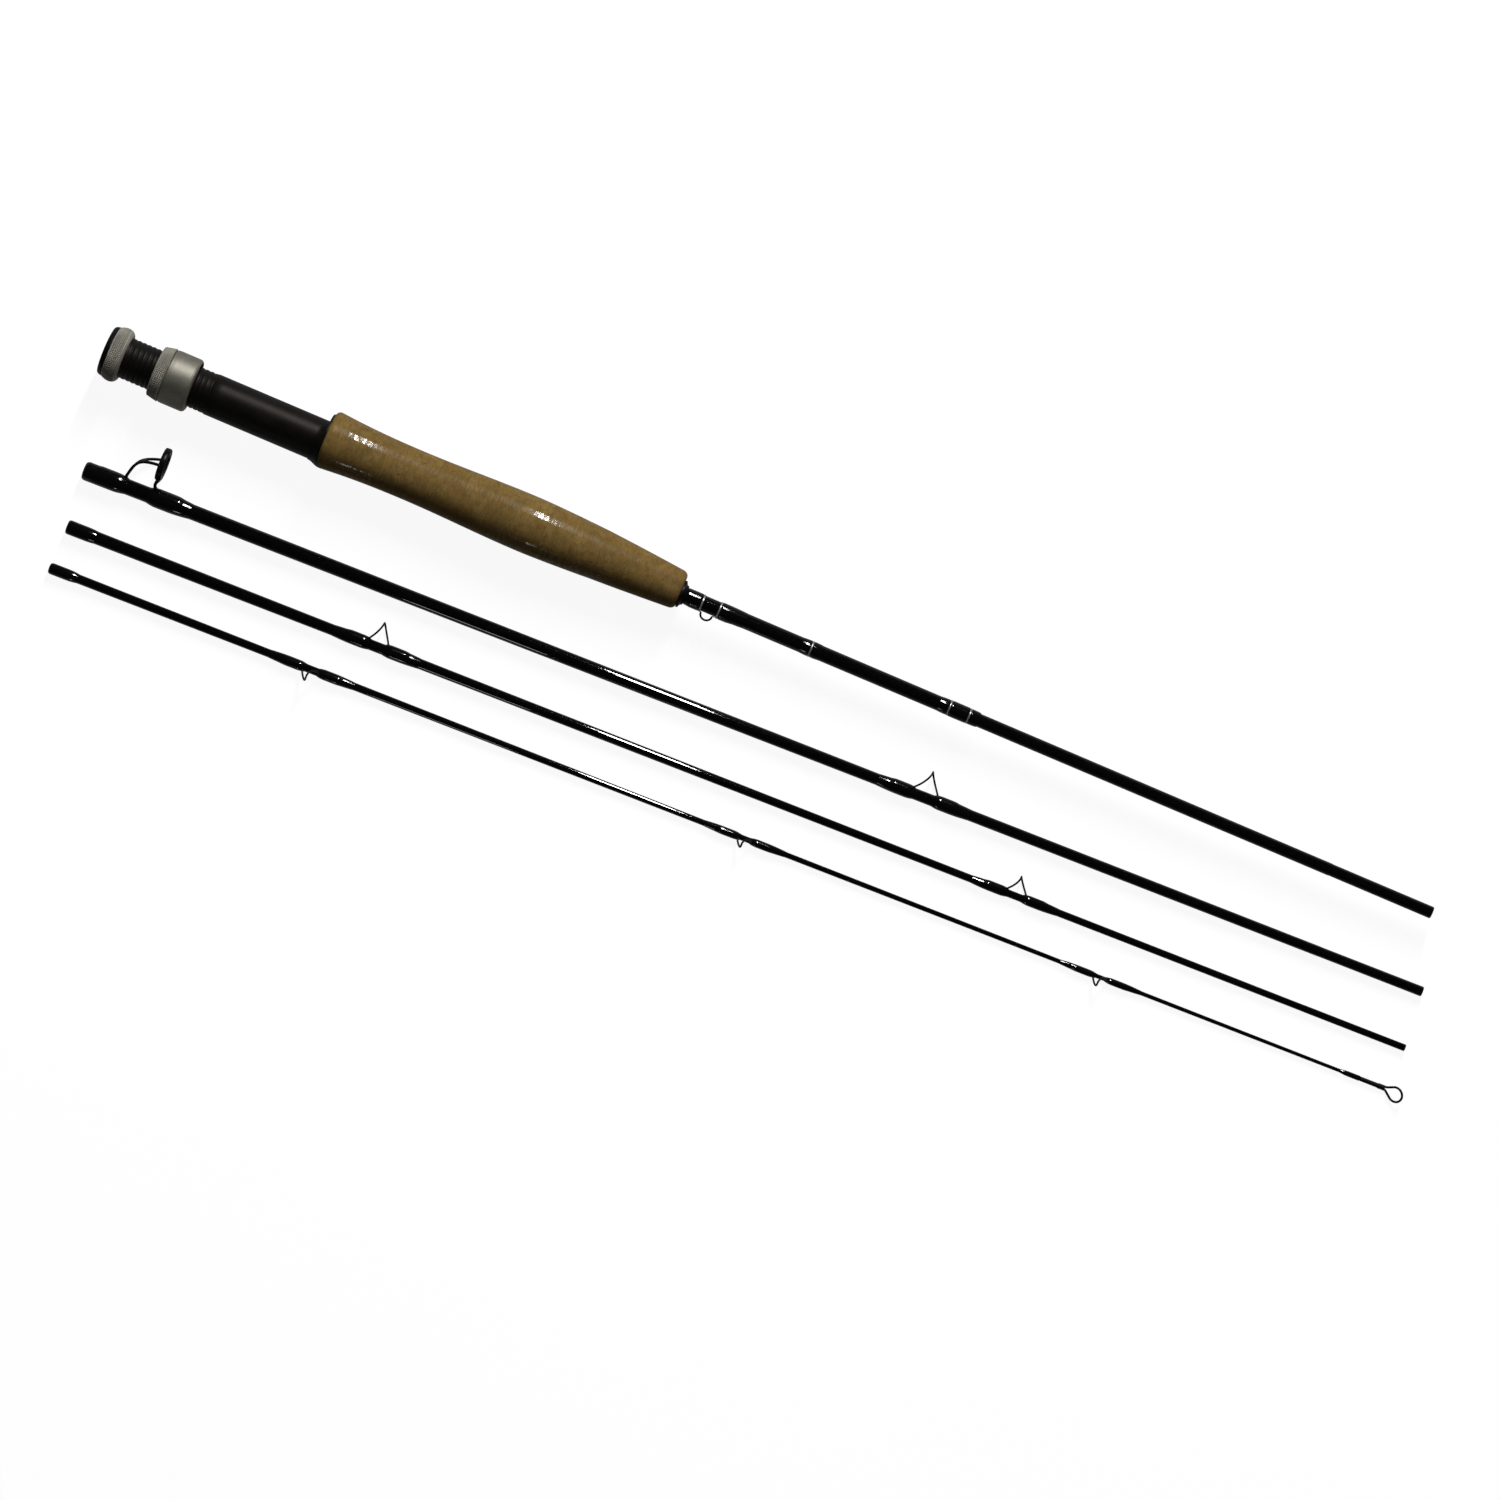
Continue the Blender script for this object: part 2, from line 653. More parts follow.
def satin_silver(name="satin_silver", light=0.72, metallic=0.75):
    """Bead-blasted, clear anodised aluminium with faint turning marks and dark, dusty grooves."""
    m = Finish(name, "butt")
    shade = times(m.colours.silver, light)
    groove = m.node("ShaderNodeAttribute", {"attribute_name": "groove"}, (), "Fac")
    grain = m.noise(7.0)
    lathe = m.noise(1.2, 3, (14, 0.35, 0.35))
    wear = m.noise(0.4)
    tone = m.tones(wear.span(0.35, 0.7), shade, 0.86, 1)
    tone = m.mix(lathe.span(0.45, 0.75) * 0.25, tone, times(shade, 1.25))
    return m.done(
        Base_Color=m.mix(groove.span(0.3, 0.95) * 0.3, tone, times(shade, 0.2)),
        Metallic=metallic,
        Roughness=0.47 + lathe * 0.08 + wear.span(0.4, 0.8) * 0.06,
        Normal=m.bump(grain, 0.012, m.bump(lathe, 0.008)),
    )


def satin_black():
    """Satin black anodising over fine turning marks."""
    m = Finish("satin_black", "butt")
    lathe = m.noise(1.1, 3, (16, 0.3, 0.3))
    cloud = m.noise(0.25, 3, (0.6, 1, 1))
    return m.done(
        Base_Color=m.tones(cloud.span(0.3, 0.7), m.colours.black, 0.75, 1.5),
        Roughness=0.38 + lathe * 0.08 + cloud.span(0.35, 0.75) * 0.05,
        Specular_IOR_Level=0.12,
        Specular_Tint=(1, 0.9, 0.82, 1),
        Normal=m.bump(lathe, 0.01),
    )


def moulded_rubber():
    """Fine-grained moulded plastic with a dull sheen."""
    m = Finish("moulded", "butt")
    grain = m.noise(5.0)
    rub = m.noise(0.3, 2)
    return m.done(
        Base_Color=m.tones(rub, m.colours.rubber, 0.7, 1.6),
        Roughness=0.4 + rub.span(0.35, 0.7) * 0.12,
        Specular_IOR_Level=0.1,
        Normal=m.bump(grain, 0.02),
    )


# Where a hand polishes the grip, from its rear: each place fades in and out between two lengths
GRIP_POLISH = (((7, 11), (22, 30)), ((74, 86), (122, 136)))


def sanded_cork():
    """Natural cork in glued rings, each cut from its own piece, under a clear sealer."""
    m = Finish("cork", "butt")
    middle, dark = tuple(m.colours.cork), tuple(m.colours.cork_dark)
    along = m.x - GRIP_X
    ring = along / (m.sizes.cork_ring / MM)
    number = ring.floor()
    joint = abs(ring.part() - 0.5).span(0.488, 0.4975)
    pick = m.node("ShaderNodeTexWhiteNoise", {"noise_dimensions": "1D"}, {"W": number})
    comb = m.noise(0.8, 2, (1, 0.15, 0.15))
    # From here on each ring reads the patterns at a place of its own
    m.place = m.vector("ADD", m.place, m.combine(number * 17.3, number * 5.1, number * 9.7))
    blotches = m.noise(0.13, 4)
    mottle = m.noise(0.42, 3, (1.2, 0.8, 0.8))
    hue = m.noise(0.22, 3, (0.7, 1, 1))
    grain = m.noise(0.9, 5, (1.4, 0.6, 0.6))
    fine = m.noise(2.5, 3, (1.3, 0.6, 0.6))
    chosen = m.noise(0.35, 2)
    pore = (1 - m.cells(0.3, (0.5, 1.4, 1.4)).span(0.06, 0.16)) * chosen.span(0.5, 0.58)
    speck = (1 - m.cells(1.1, (0.8, 1, 1)).span(0.1, 0.24)) * chosen.span(0.44, 0.56)
    tone = m.tones(blotches.span(0.33, 0.67), middle, 0.74, 1.16)
    for share, shade in (
        (hue.span(0.4, 0.62) * 0.55, tuple(a * b for a, b in zip(middle, (0.9, 0.72, 0.6)))),
        (mottle.span(0.48, 0.66) * 0.55, times(middle, 0.5)),
        (pick * 0.1, times(middle, 1.25)),
        (grain.span(0.48, 0.68) * 0.6, times(middle, 0.58)),
        (fine.span(0.52, 0.75) * 0.35, times(middle, 1.5)),
        (pore * 0.8, dark),
        (speck * 0.6, dark),
        (joint * 0.4, times(middle, 0.45)),
    ):
        tone = m.mix(share, tone, shade)
    height = 1 - pore.most(speck * 0.6).most(joint * 0.5)
    rear, palm = (along.span(*start) * (1 - along.span(*end)) for start, end in GRIP_POLISH)
    bars = (1 - comb.span(0.5, 0.6)) * 0.05 + (1 - comb.span(0.42, 0.5)) * 0.17
    return m.done(
        Base_Color=tone,
        Roughness=0.2 + fine * 0.1 + pore * 0.4,
        Specular_IOR_Level=0.02,
        Coat_Weight=bars * rear.most(palm) * (1 - pore) + 0.004,
        Coat_Roughness=0.08,
        Normal=m.bump(comb, 0.14, m.bump(height, 0.04)),
    )


def black_wire(section):
    """Black plated wire with a soft gleam and small rubbed places."""
    m = Finish("black_wire", section)
    rub = m.noise(1.4)
    drawn = m.noise(4.0, 2, (0.3, 1, 1))
    return m.done(
        Base_Color=m.tones(rub.span(0.55, 0.8), m.colours.wire, 1, 3),
        Roughness=0.26 + drawn * 0.12 + rub.span(0.5, 0.8) * 0.08,
        Specular_IOR_Level=0.12,
        Normal=m.bump(drawn, 0.008),
    )


def polished_ceramic():
    """Dark grey ceramic with a hard polish and faint lapping marks."""
    m = Finish("ceramic", "second")
    lap = m.noise(4.0, 2)
    return m.done(
        Base_Color=m.tones(m.noise(0.8), m.colours.ceramic, 0.7, 1.5),
        Roughness=0.16 + lap.span(0.4, 0.8) * 0.08,
        Specular_IOR_Level=0.2,
        Normal=m.bump(lap, 0.003),
    )


def foam():
    """Open-grained tan foam of the hidden spacers under the barrel."""
    m = Finish("foam", "butt")
    cells = m.noise(1.2)
    return m.done(
        Base_Color=m.tones(cells, m.colours.cork, 0.8, 1.5),
        Roughness=0.8 + cells * 0.15,
        Normal=m.bump(cells, 0.1),
    )


# ---- Outlines and paths, in millimetres along a section ----
def blend(first, second, share):
    return first + (second - first) * share


def stepped(start, end, step):
    """Even places from start to end, about a step apart."""
    count = max(1, round((end - start) / step))
    return [start + (end - start) * i / count for i in range(count + 1)]


def within(x, start, end, fade):
    """1 between start and end, fading to 0 at both."""
    return max(0, min(1, (x - start) / fade, (end - x) / fade))


def barrel_outline():
    """The barrel with its screw, which runs out over one turn at the front."""
    thread = [
        (x, THREAD_R, 0, min(1, (THREAD_END - x) / 1.6, (x - THREAD_START + 0.1) / 1.5))
        for x in stepped(THREAD_START, THREAD_END, 0.15)
    ]
    bore = BARREL_R - BARREL_WALL
    return [
        (BARREL_X, bore), (BARREL_X, THREAD_R), (THREAD_START - 0.1, THREAD_R), *thread,
        (THREAD_END + 0.25, BARREL_R), *[(x, BARREL_R) for x in stepped(52, BARREL_END, 8)],
        (BARREL_END, bore), (BARREL_X, bore),
    ]


def cap_outline():
    """The cap that closes the barrel, with a full, rounded rim."""
    plug, front = BARREL_R - 0.9, BARREL_X - GLUE
    rim = [
        (CAP_END * (1 - cos(a)), CAP_RIM_R + CAP_RIM * sin(a))
        for a in stepped(0, pi / 2, 0.16)
    ]
    return [
        (0, 0), (0, 4), (0, 8.6), (0.02, 9.2), *rim, (CAP_END, plug), (front, plug), (front, 0)
    ]


def butt_ring_outline():
    """The knurled ring between the cap and the barrel, arched along its length."""

    def radius(x):
        arc, reach = (
            (6.4, RING_CREST - x) if x < RING_CREST else (3.5, min(x - RING_CREST, 3.5))
        )
        return RING_R - (arc - sqrt(arc * arc - reach * reach))

    start, inner, seat = CAP_END + GLUE, BARREL_R - 0.88, THREAD_R + GLUE
    outer = [
        (x, radius(x), 0, within(x, 2.45, 7.7, 0.3)) for x in stepped(start, RING_END, 0.1)
    ]
    return [
        *outer, (RING_END, seat), (BARREL_X, seat), (BARREL_X, inner), (start, inner), outer[0]
    ]


def locking_ring_outline():
    """The locking ring: a coned, knurled band and a grooved spigot for the sliding hood."""
    start, end = NUT_REAR + 0.3, NUT_FRONT - 0.3
    spigot, groove, bore, thread = (
        BARREL_R + 1.1, BARREL_R + 0.65, BARREL_R + 0.1, THREAD_R + 0.08
    )

    def radius(x):
        return blend(NUT_R - NUT_CONE, NUT_R, (x - start) / (end - start))

    band = [
        (x, radius(x), 0, within(x, NUT_REAR + 0.4, NUT_FRONT - 0.4, 0.25))
        for x in stepped(start, end, 0.1)
    ]
    front = [
        (0, NUT_R - 0.3), (0, spigot), (0.95, spigot), (0.95, groove), (2.05, groove),
        (2.05, spigot), (2.3, spigot), (2.3, bore), (-0.2, bore), (-0.5, thread),
    ]
    return [
        (NUT_REAR, NUT_R - 1.25), *band, *[(NUT_FRONT + x, r) for x, r in front],
        (NUT_REAR, thread), (NUT_REAR, NUT_R - 1.25),
    ]


def grip_outline():
    """The cork grip: rear swell, waist, palm swell and taper, with rounded ends. Its axis stands
    off the rod's towards the reel, and it holds the cup of the fixed hood at the rear."""
    rear, end = GRIP_X + 0.1, GRIP_X + GRIP_LEN
    lean_from = GRIP_X + GRIP_LEN * (1 - 3 / GRIP_RINGS)

    def rounding(depth, reach):
        share = max(0, 1 - depth / reach)
        return GRIP_DROP * (1 - sqrt(1 - share ** 2))

    def row(x):
        p = (x - GRIP_X) / GRIP_LEN
        if p < GRIP_WAIST:
            share = ((GRIP_WAIST - max(p, GRIP_REAR)) / (GRIP_WAIST - GRIP_REAR)) ** 2.2
            bare = blend(GRIP_WAIST_R, GRIP_REAR_R, share)
        elif p < GRIP_PALM:
            share = (1 - cos(pi * (p - GRIP_WAIST) / (GRIP_PALM - GRIP_WAIST))) / 2
            bare = blend(GRIP_WAIST_R, GRIP_PALM_R, share)
        else:
            share = ((p - GRIP_PALM) / (1 - GRIP_PALM)) ** 1.45
            bare = blend(GRIP_PALM_R, GRIP_FRONT_R - 0.1, share)
        bare -= rounding(x - GRIP_X, GRIP_REAR_ROUND) + rounding(end - x, GRIP_FRONT_ROUND)
        lean = max(0, (x - lean_from) / (end - lean_from))
        return x, bare, blend(GRIP_SHIFT, GRIP_FRONT_SHIFT, lean)

    places = (
        *stepped(rear, rear + 2.4, 0.15), *stepped(rear + 3.2, end - 3.2, 0.8),
        *stepped(end - 2.6, end, 0.15),
    )
    outer = [row(x) for x in places]
    return [
        *outer, (end, blank_radius("butt", end) + GLUE),
        (CUP_END + GLUE, blank_radius("butt", CUP_END) + GLUE),
        (CUP_END + GLUE, CUP_R + GLUE, CUP_SHIFT), (rear, CUP_R + GLUE, CUP_SHIFT), outer[0],
    ]


def blank_radius(section, x):
    reach, radii = BLANK_RADII[section]
    return float(np.interp(x, [reach * i / 3 for i in range(4)], radii))


def wrap_outline(section, start, end, thick, ramps, under=0, foot=None):
    """A wrap of thread under epoxy that thins out over two ramps. foot is where a foot below it
    begins and ends. At a section's rear end the epoxy flows round the rim."""
    rows, inner = [], [(x, blank_radius(section, x) + under + GLUE) for x in (end, start)]
    if start == 0:
        rim, reach = blank_radius(section, 0) - RIM_IN, ramps[0] + RIM_OUT
        rows = [
            (reach * (1 - cos(a)) - RIM_OUT, rim + (thick + RIM_IN) * sin(a))
            for a in np.linspace(0, pi / 2, 9)[:-1]
        ]
        inner = [inner[0], (-GLUE, inner[1][1]), (-GLUE, rim)]

    def ramped(u, ramp):
        u = min(1, u)
        return sqrt(1 - (1 - u) ** 2) if ramp < 2 else sin(pi / 2 * u)

    for x in stepped(max(start, rows[-1][0] + 0.1) if rows else start, end, 0.3):
        rise = min(
            ramped((x - start) / ramps[0], ramps[0]), ramped((end - x) / ramps[1], ramps[1])
        )
        height = blend(WRAP_EDGE, thick, rise)
        lift = within(x, *foot, 2) * min(1, 2 * rise + 0.3) if foot else 0
        rows.append((x, blank_radius(section, x) + under + height, 0, lift))
    return [*rows, *inner, rows[0]]


def snake_path(section, middle, high, spread, lean):
    """Flat foot, a leg up one side of the eye, the peak, and down the other side to a flat foot."""
    half, broad = spread / 2, high * 0.38

    def base(x):
        return blank_radius(section, x) + 2 * GLUE + FOOT_T / 2

    centre = base(middle) + high / 2
    flat = FOOT_T / 2
    rows = []
    for d, thick, wide in (
        (SNAKE_FOOT, flat / 2, 0.6), (8, flat, 1.2), (4, flat, 1.4), (0.45, flat, 1.3)
    ):
        x = middle - half - d
        rows.append((x, 0, base(x), 0, 0, base(x) - centre, thick, wide * SNAKE_WIRE))
    for u in (0.96, 0.86, 0.74, 0.62, 0.5, 0.37, 0.25, 0.15, 0.07, 0.02, 0):
        x = middle - half * u ** 1.36 - lean * (1 - u)
        y = -broad * 2.3 * sqrt(u) * (1 - u) ** 0.75
        z = base(x) + high * (1 - u)
        # The wire is still partly flat where it leaves the foot
        flattened = ((flat + SNAKE_WIRE) / 2, 1.15 * SNAKE_WIRE)
        thick, wide = flattened if u == 0.96 else (SNAKE_WIRE, SNAKE_WIRE)
        rows.append((x, y, z, 0, y, z - centre, thick, wide))
    # The front half mirrors the rear one, but for the lean
    front = []
    for x, y, z, _, _, _, thick, wide in rows[-2::-1]:
        u = min(1, max(0, 1 - (z - base(x)) / high))
        x2 = 2 * middle - x - 2 * lean * (1 - u)
        z2 = base(x2) + z - base(x)
        front.append((x2, -y, z2, 0, -y, z2 - centre, thick, wide))
    return rows + front


def stripping_guide_paths():
    """Two struts, the rear foot and the front stem with its foot."""

    def foot(x):
        """Height of the middle of a foot."""
        return blank_radius("second", x) + 2 * GLUE + STRIP_FOOT_T / 2

    struts = [
        [(STRIP_AT + x, side * y, STRIP_H + z, -0.8, 0, 1, 0.62, w) for x, y, z, w in STRIP_STRUT]
        for side in (-1, 1)
    ]
    toes = ((4, 0.1, 0.4), (6, 0.2, 0.8), (10, 0.2, 1.1), (STRIP_REAR - 4, 0.2, 1.1))
    rear = [(x, 0, foot(x), 0, 0, 1, thick, wide) for x, thick, wide in toes]
    rear.append((STRIP_REAR - 1.2, 0, foot(STRIP_REAR) + 0.25, 0, 0, 1, 0.45, 1))
    rim, base = STRIP_H - STRIP_R, foot(STRIP_AT + 4)
    rise = rim - base
    # Place, height, direction of the thickness along x and z, half-thickness and half-width
    stem = [
        (STRIP_AT + x, 0, z, out, 0, up, thick, wide) for x, z, out, up, thick, wide in (
            (0.2, rim + 0.3, -1, 0, 1, 1.9), (-0.3, base + 0.69 * rise, -1, 0, 0.72, 1.1),
            (-0.4, base + 0.42 * rise, -1, 0.1, 0.7, 1.2),
            (0.1, base + 0.13 * rise, -0.9, -0.5, 0.66, 1.5), (2.2, base + 0.05, 0, -1, 0.3, 1.2),
            (7, foot(STRIP_AT + 7), 0, -1, 0.2, 1.1), (11, foot(STRIP_AT + 11), 0, -1, 0.2, 0.8),
            (14, foot(STRIP_AT + 14), 0, -1, 0.1, 0.4),
        )
    ]
    return [*struts, rear, stem]


def stripping_ring_outline():
    """The ring round the insert, with rounded outer edges."""
    rows = (
        (-1.4, 0.6), (-1.2, 0.2), (-0.8, 0), (0.8, 0), (1.2, 0.2), (1.4, 0.6),
        (1.4, STRIP_RING_T), (-1.4, STRIP_RING_T), (-1.4, 0.6),
    )
    return [(STRIP_AT + x, STRIP_R - drop, STRIP_H) for x, drop in rows]


def keeper_path():
    """A small loop of wire between two flat feet, on the side away from the reel."""
    flat = FOOT_T / 2
    low = blank_radius("butt", REAR_BAND) + FINISH_T + 3 * GLUE + flat

    def foot(*places):
        return [(x, 0, -low, 0, 0, -1, thick, KEEPER_WIRE) for x, thick in places]

    rows = foot(
        (REAR_BAND - KEEPER_TOE, flat / 2), (REAR_BAND - 3, flat), (REAR_BAND + BAND_W / 2, flat)
    )
    for i in range(15):
        angle = pi * (1 - i / 14)
        x = KEEPER_AT + KEEPER_R * cos(angle)
        z = -low - KEEPER_WIRE - KEEPER_H * sin(angle)
        rows.append((x, 0, z, x - KEEPER_AT, 0, z + low - 1, KEEPER_WIRE, KEEPER_WIRE))
    front = FRONT_BAND + BAND_W
    return rows + foot(
        (KEEPER_AT + KEEPER_R + 0.7, flat), (front + 3, flat), (front + KEEPER_TOE, flat / 2)
    )


def tip_loop_path():
    """Two legs out of the tube's sides, spread into a ring that leans to the guides' side."""
    cosine, sine = cos(LOOP_LEAN), sin(LOOP_LEAN)
    spread = asin(LOOP_R / hypot(LOOP_REACH, LEG_W))
    join = pi / 2 + spread - atan(LEG_W / LOOP_REACH)

    def tilted(x, y):
        return (TUBE_END + 0.2 + x * cosine, y, x * sine)

    face, up, wire = (-sine, 0, cosine), (0, 0, 1), (LOOP_WIRE, LOOP_WIRE)
    leg = [(TUBE_END + GLUE - 3, LEG_W, 0), (TUBE_END, LEG_W, 0), tilted(0.5, LEG_W + 0.15)]
    rows = [(x, -y, z, *up, *wire) for x, y, z in leg]
    for i in range(21):
        angle = -join + 2 * join * i / 20
        x, y = LOOP_REACH + LOOP_R * cos(angle), LOOP_R * sin(angle)
        rows.append((*tilted(x, y), *face, *wire))
    return rows + [(x, y, z, *up, *wire) for x, y, z in reversed(leg)]


def thread_wraps():
    """For each section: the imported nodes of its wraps, and start, end, thickness, ramps, layer
    below and foot of each wrap."""
    front = FRONT_BAND + BAND_W
    wraps = {
        "butt": (["handle_wraps"], [
            (KEEPER_WRAP, REAR_BAND - GLUE, BUTT_WRAP_T, (1, 0.8), FINISH_T,
             (REAR_BAND - KEEPER_TOE, 280)),
            (front + GLUE, FRONT_BAND + 12, BUTT_WRAP_T, (0.8, 9), FINISH_T,
             (270, front + KEEPER_TOE)),
            (COAT_WRAP, COAT_WRAP_END, BUTT_WRAP_T, (0.8, 0.8), FINISH_T),
            *[(x, x + 4, 0.2, ramps, FINISH_T) for x, ramps in BAND_DOMES],
        ]),
        "second": (["second_ferrule_wrap", "stripping_guide_wrap"], [
            (0, STRIP_REAR, STRIP_WRAP_T, (1.5, 5.5), 0, (5, 30)),
            (STRIP_AT - 1.5, STRIP_AT + 17.5, STRIP_WRAP_T, (4.5, 9), 0, (28, 44)),
        ]),
        "third": (["third_ferrule_wrap"], [(0, FERRULE_WRAP, 0.3, (0.9, 4))]),
        "tip": (["tip_ferrule_wrap", "tip_top_wrap"], [
            (0, FERRULE_WRAP, 0.43, (1.2, 4.5)),
            (TUBE_END - 20, TUBE_END - 11.02, 0.36, (3.5, 0.2)),
        ]),
    }
    for i, (section, middle, _, spread, _) in enumerate(SNAKE_GUIDES):
        nodes, rows = wraps[section]
        nodes.append(f"snake_wraps_{i + 1}")
        for side in (-1, 1):
            foot = middle + side * spread / 2
            wrap = (foot - side * 1.2, foot + side * (SNAKE_FOOT + 5))
            under = (foot - side * 9, foot + side * SNAKE_FOOT)
            rows.append((*wrap[::side], WRAP_T, (3.4, 9)[::side], 0, under[::side]))
    return wraps


# ---- Operators ----
class ROD_OT_stage(bpy.types.Operator):
    """Makes the camera over the table, the lamps, the pale table and the world"""

    bl_idname = "rod.stage"
    bl_label = "Stage"

    def execute(self, context):
        settings = context.scene.rod_stage
        lens = bpy.data.cameras.new("camera")
        lens.lens, lens.sensor_width = settings.focal, 36
        lens.clip_start, lens.clip_end = 0.1, 50
        camera = in_scene("camera", lens)
        camera.location = (CAMERA_X, CAMERA_Y, settings.height)
        camera.rotation_euler = (0, 0, settings.turn)
        context.scene.camera = camera
        self.table()
        for name, power, place, size in LAMPS:
            light = bpy.data.lights.new(name, "AREA")
            light.shape, light.energy = "RECTANGLE", getattr(settings, power)
            light.size, light.size_y = size
            lamp = in_scene(name, light)
            lamp.location = place
            lamp.rotation_mode = "QUATERNION"
            lamp.rotation_quaternion = Vector(place).to_track_quat("Z", "Y")
        context.scene.world = self.world()
        context.scene.view_settings.view_transform = "Standard"
        return {"FINISHED"}

    def table(self):
        """Pale paper that glows white for the camera and through glass, and less in gloss."""
        material = bpy.data.materials.new("table")
        graph = Graph(emptied(material))
        speckle = graph.node("ShaderNodeTexNoise", None, {"Scale": 40.0, "Detail": 3.0})
        tone = graph.mix(speckle, TABLE_DARK, TABLE_LIGHT)
        paper = graph.node("ShaderNodeBsdfDiffuse", None, {"Color": tone})
        rays = graph.outputs(graph.node("ShaderNodeLightPath"))
        seen = rays["Is Camera Ray"].most(rays["Is Glossy Ray"] * GLOSS_SHARE)
        seen = seen.most(rays["Is Transmission Ray"])
        shine = {"Color": (1, 1, 1, 1), "Strength": seen * TABLE_GLOW}
        glow = graph.node("ShaderNodeEmission", None, shine)
        both = graph.node("ShaderNodeAddShader", None, [paper, glow])
        graph.node("ShaderNodeOutputMaterial", None, {"Surface": both})
        mesh = bpy.data.meshes.new("table")
        corners = [(x * TABLE_HALF, y * TABLE_HALF, 0) for x, y in TABLE_CORNERS]
        mesh.from_pydata(corners, [], [(0, 1, 2, 3)])
        mesh.materials.append(material)
        table = in_scene("table", mesh)
        table.location.z = -TABLE_DROP

    def world(self):
        """White behind the table, and soft light that falls off overhead."""
        world = bpy.data.worlds.new("studio")
        graph = Graph(emptied(world))
        camera = graph.outputs(graph.node("ShaderNodeLightPath"))["Is Camera Ray"]
        _, _, height = graph.separate(graph.node("ShaderNodeTexCoord", None, (), "Generated"))
        soft = SKY_LEVEL - height.span(0.0, 0.6) * SKY_FALL
        shine = {"Color": (1, 1, 1, 1), "Strength": camera.most(soft)}
        light = graph.node("ShaderNodeBackground", None, shine)
        graph.node("ShaderNodeOutputWorld", None, {"Surface": light})
        return world


class ROD_OT_blanks(bpy.types.Operator):
    """Lacquers the four blanks"""

    bl_idname = "rod.blanks"
    bl_label = "Blanks"

    def execute(self, context):
        for section in PLACES:
            dress(lacquered_blank(section), f"{section}_blank")
        dress(lacquered_blank("butt", "thick_coat", 0.006), "finish_coat")
        return {"FINISHED"}


class ROD_OT_reel_seat(bpy.types.Operator):
    """Cuts the barrel's screw and the two knurled rings, and finishes the reel seat"""

    bl_idname = "rod.reel_seat"
    bl_label = "Reel seat"

    def execute(self, context):
        sizes = context.scene.rod_sizes
        knurled = satin_silver("knurled_silver", 0.98, 0.3)
        black = satin_black()
        dress(satin_silver(), "sliding_hood", "hood_snap_ring")
        dress(black, "fixed_hood")
        dress(foam(), "reel_seat_arbors")
        screw = {
            "Pitch": sizes.thread_pitch, "Depth": sizes.thread_depth, "End": THREAD_END * MM
        }
        knurl = {
            "Segments": 8 * sizes.knurl_count, "Pitch": sizes.knurl_pitch,
            "Depth": sizes.knurl_depth, "Count": sizes.knurl_count,
        }
        for name, outline, finish, relief, values, body, slot, node in (
            ("rounded_cap", cap_outline(), moulded_rubber(), plain_surface, {},
             "butt_section", "cap_black", "butt_cap"),
            ("threaded_barrel", barrel_outline(), black, screw_thread, screw,
             "butt_section", "seat_black", "reel_seat_barrel"),
            ("knurled_butt_ring", butt_ring_outline(), knurled, knurled_ring, knurl,
             "butt_section", "seat_silver", "butt_ring"),
            ("knurled_locking_ring", locking_ring_outline(), knurled, knurled_ring, knurl,
             "locking_ring", "seat_silver", "locking_ring"),
        ):
            mesh = turned(name, outline, "butt", finish, relief, **values)
            add_piece(name, mesh, body, slot, node)
        return {"FINISHED"}


class ROD_OT_grip(bpy.types.Operator):
    """Finishes the cork grip and its winding check"""

    bl_idname = "rod.grip"
    bl_label = "Cork grip"

    def execute(self, context):
        rings = [name for name in frame["nodes"] if name.startswith("cork_ring_")]
        grip = turned("grip", grip_outline(), "butt", sanded_cork(), Segments=128)
        add_piece("cork_grip", grip, "butt_section", "cork", *rings)
        dress(moulded_rubber(), "winding_check")
        return {"FINISHED"}


class ROD_OT_wraps(bpy.types.Operator):
    """Finishes the thread wraps and the trim bands"""

    bl_idname = "rod.wraps"
    bl_label = "Thread wraps"

    def execute(self, context):
        for section, (nodes, rows) in thread_wraps().items():
            finish = wound_thread(section)
            side = -1.0 if section == "butt" else 1.0
            values = {"Segments": 40, "Lift": WRAP_LIFT * MM, "Side": side}
            wraps = [
                turned("wrap", wrap_outline(section, *row), section, finish, thread_wrap, **values)
                for row in rows
            ]
            add_piece(
                f"thread_wraps_{section}", cleaned(finish, *wraps), f"{section}_section",
                "wrap_black", *nodes,
            )
        shade = times(context.scene.rod_colours.band, 0.75)
        dress(wound_thread("butt", "metallic_thread", shade, 0.6, 0.32), "trim_bands")
        return {"FINISHED"}


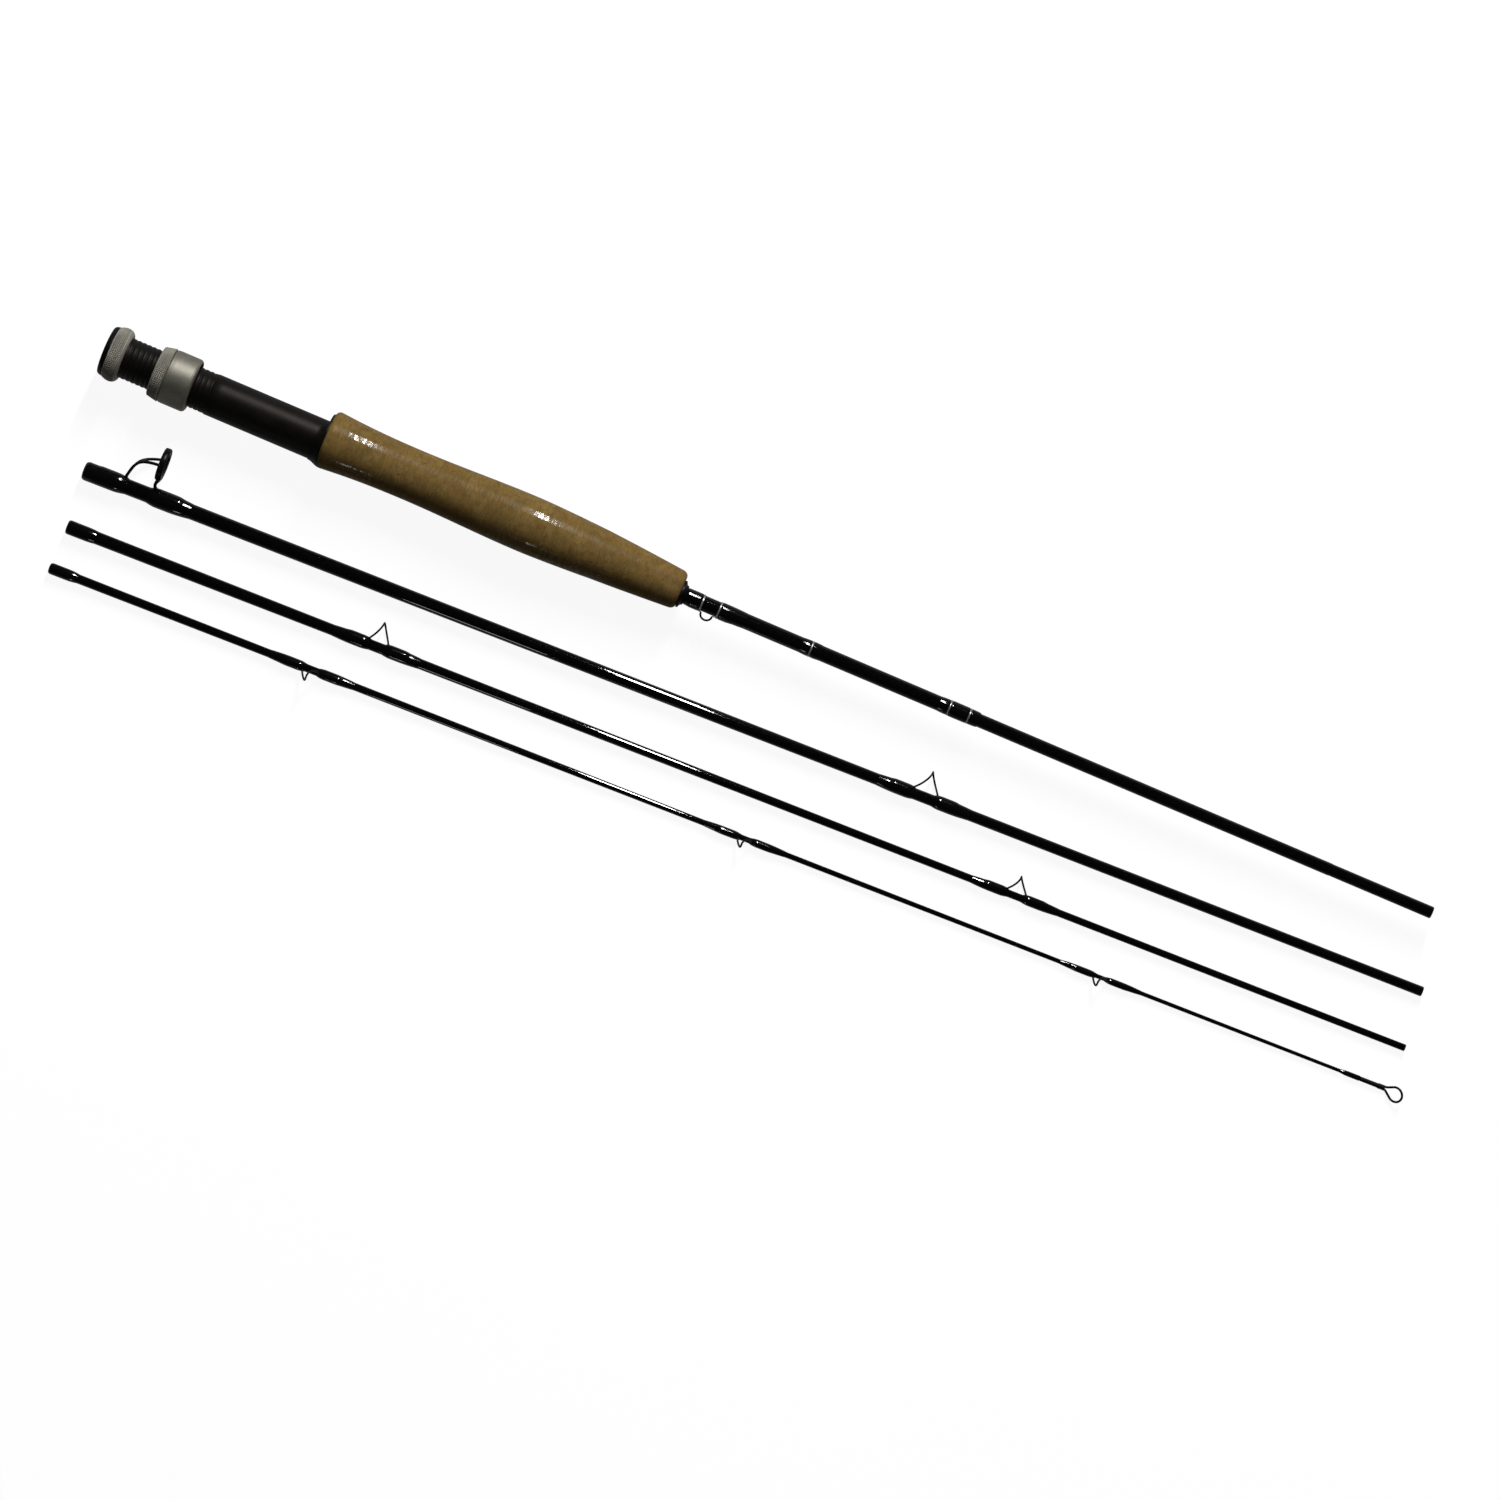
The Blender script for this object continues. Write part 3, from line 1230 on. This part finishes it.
class ROD_OT_guides(bpy.types.Operator):
    """Bends the wires of the guides, the hook keeper and the tip-top, and finishes them"""

    bl_idname = "rod.guides"
    bl_label = "Guides"

    def execute(self, context):
        finishes = {section: black_wire(section) for section in PLACES}
        dress(polished_ceramic(), "stripping_guide_insert")
        dress(finishes["tip"], "tip_top_tube")
        values = {"Sides": context.scene.rod_sizes.wire_sides}
        tree = wire_tree(values)

        def wires(name, section, paths):
            source = wire_source(name, paths)
            return shaped(name, source, tree, values, section, finishes[section])

        def add(name, section, mesh, *nodes):
            add_piece(name, mesh, f"{section}_section", "guide_black", *nodes)

        for section in ("second", "third", "tip"):
            numbers = [i for i, row in enumerate(SNAKE_GUIDES) if row[0] == section]
            snakes = wires("snake", section, [snake_path(*SNAKE_GUIDES[i]) for i in numbers])
            nodes = [f"snake_guide_{i + 1}" for i in numbers]
            add(f"snake_guides_{section}", section, snakes, *nodes)
        finish = finishes["second"]
        struts = wires("struts", "second", stripping_guide_paths())
        ring = turned("ring", stripping_ring_outline(), "second", finish)
        add("stripping_guide", "second", cleaned(finish, struts, ring), "stripping_guide_frame")
        add("hook_loop", "butt", wires("keeper", "butt", [keeper_path()]), "hook_keeper")
        add("tip_loop", "tip", wires("loop", "tip", [tip_loop_path()]), "tip_top_loop")
        return {"FINISHED"}


class ROD_PT_panel(bpy.types.Panel):
    """Lists the rod's pieces, sizes and colours"""

    bl_idname = "ROD_PT_panel"
    bl_label = "Fly Rod"
    bl_space_type = "VIEW_3D"
    bl_region_type = "UI"
    bl_category = "Fly Rod"

    def draw(self, context):
        for operator in OPERATORS:
            self.layout.operator(operator.bl_idname)
        for group in (getattr(context.scene, name) for name in GROUPS):
            box = self.layout.box()
            for name in group.__annotations__:
                box.prop(group, name)


GROUPS = {"rod_sizes": RodSizes, "rod_colours": RodColours, "rod_stage": RodStage}
OPERATORS = (
    ROD_OT_stage, ROD_OT_blanks, ROD_OT_reel_seat, ROD_OT_grip, ROD_OT_wraps, ROD_OT_guides
)
CLASSES = (*GROUPS.values(), *OPERATORS, ROD_PT_panel)


def register():
    for cls in CLASSES:
        bpy.utils.register_class(cls)
    for name, cls in GROUPS.items():
        setattr(bpy.types.Scene, name, PointerProperty(type=cls))


def unregister():
    for name in GROUPS:
        delattr(bpy.types.Scene, name)
    for cls in reversed(CLASSES):
        bpy.utils.unregister_class(cls)


def main():
    register()
    for operator in OPERATORS:
        group, name = operator.bl_idname.split(".")
        getattr(getattr(bpy.ops, group), name)()


if __name__ == "__main__":
    main()
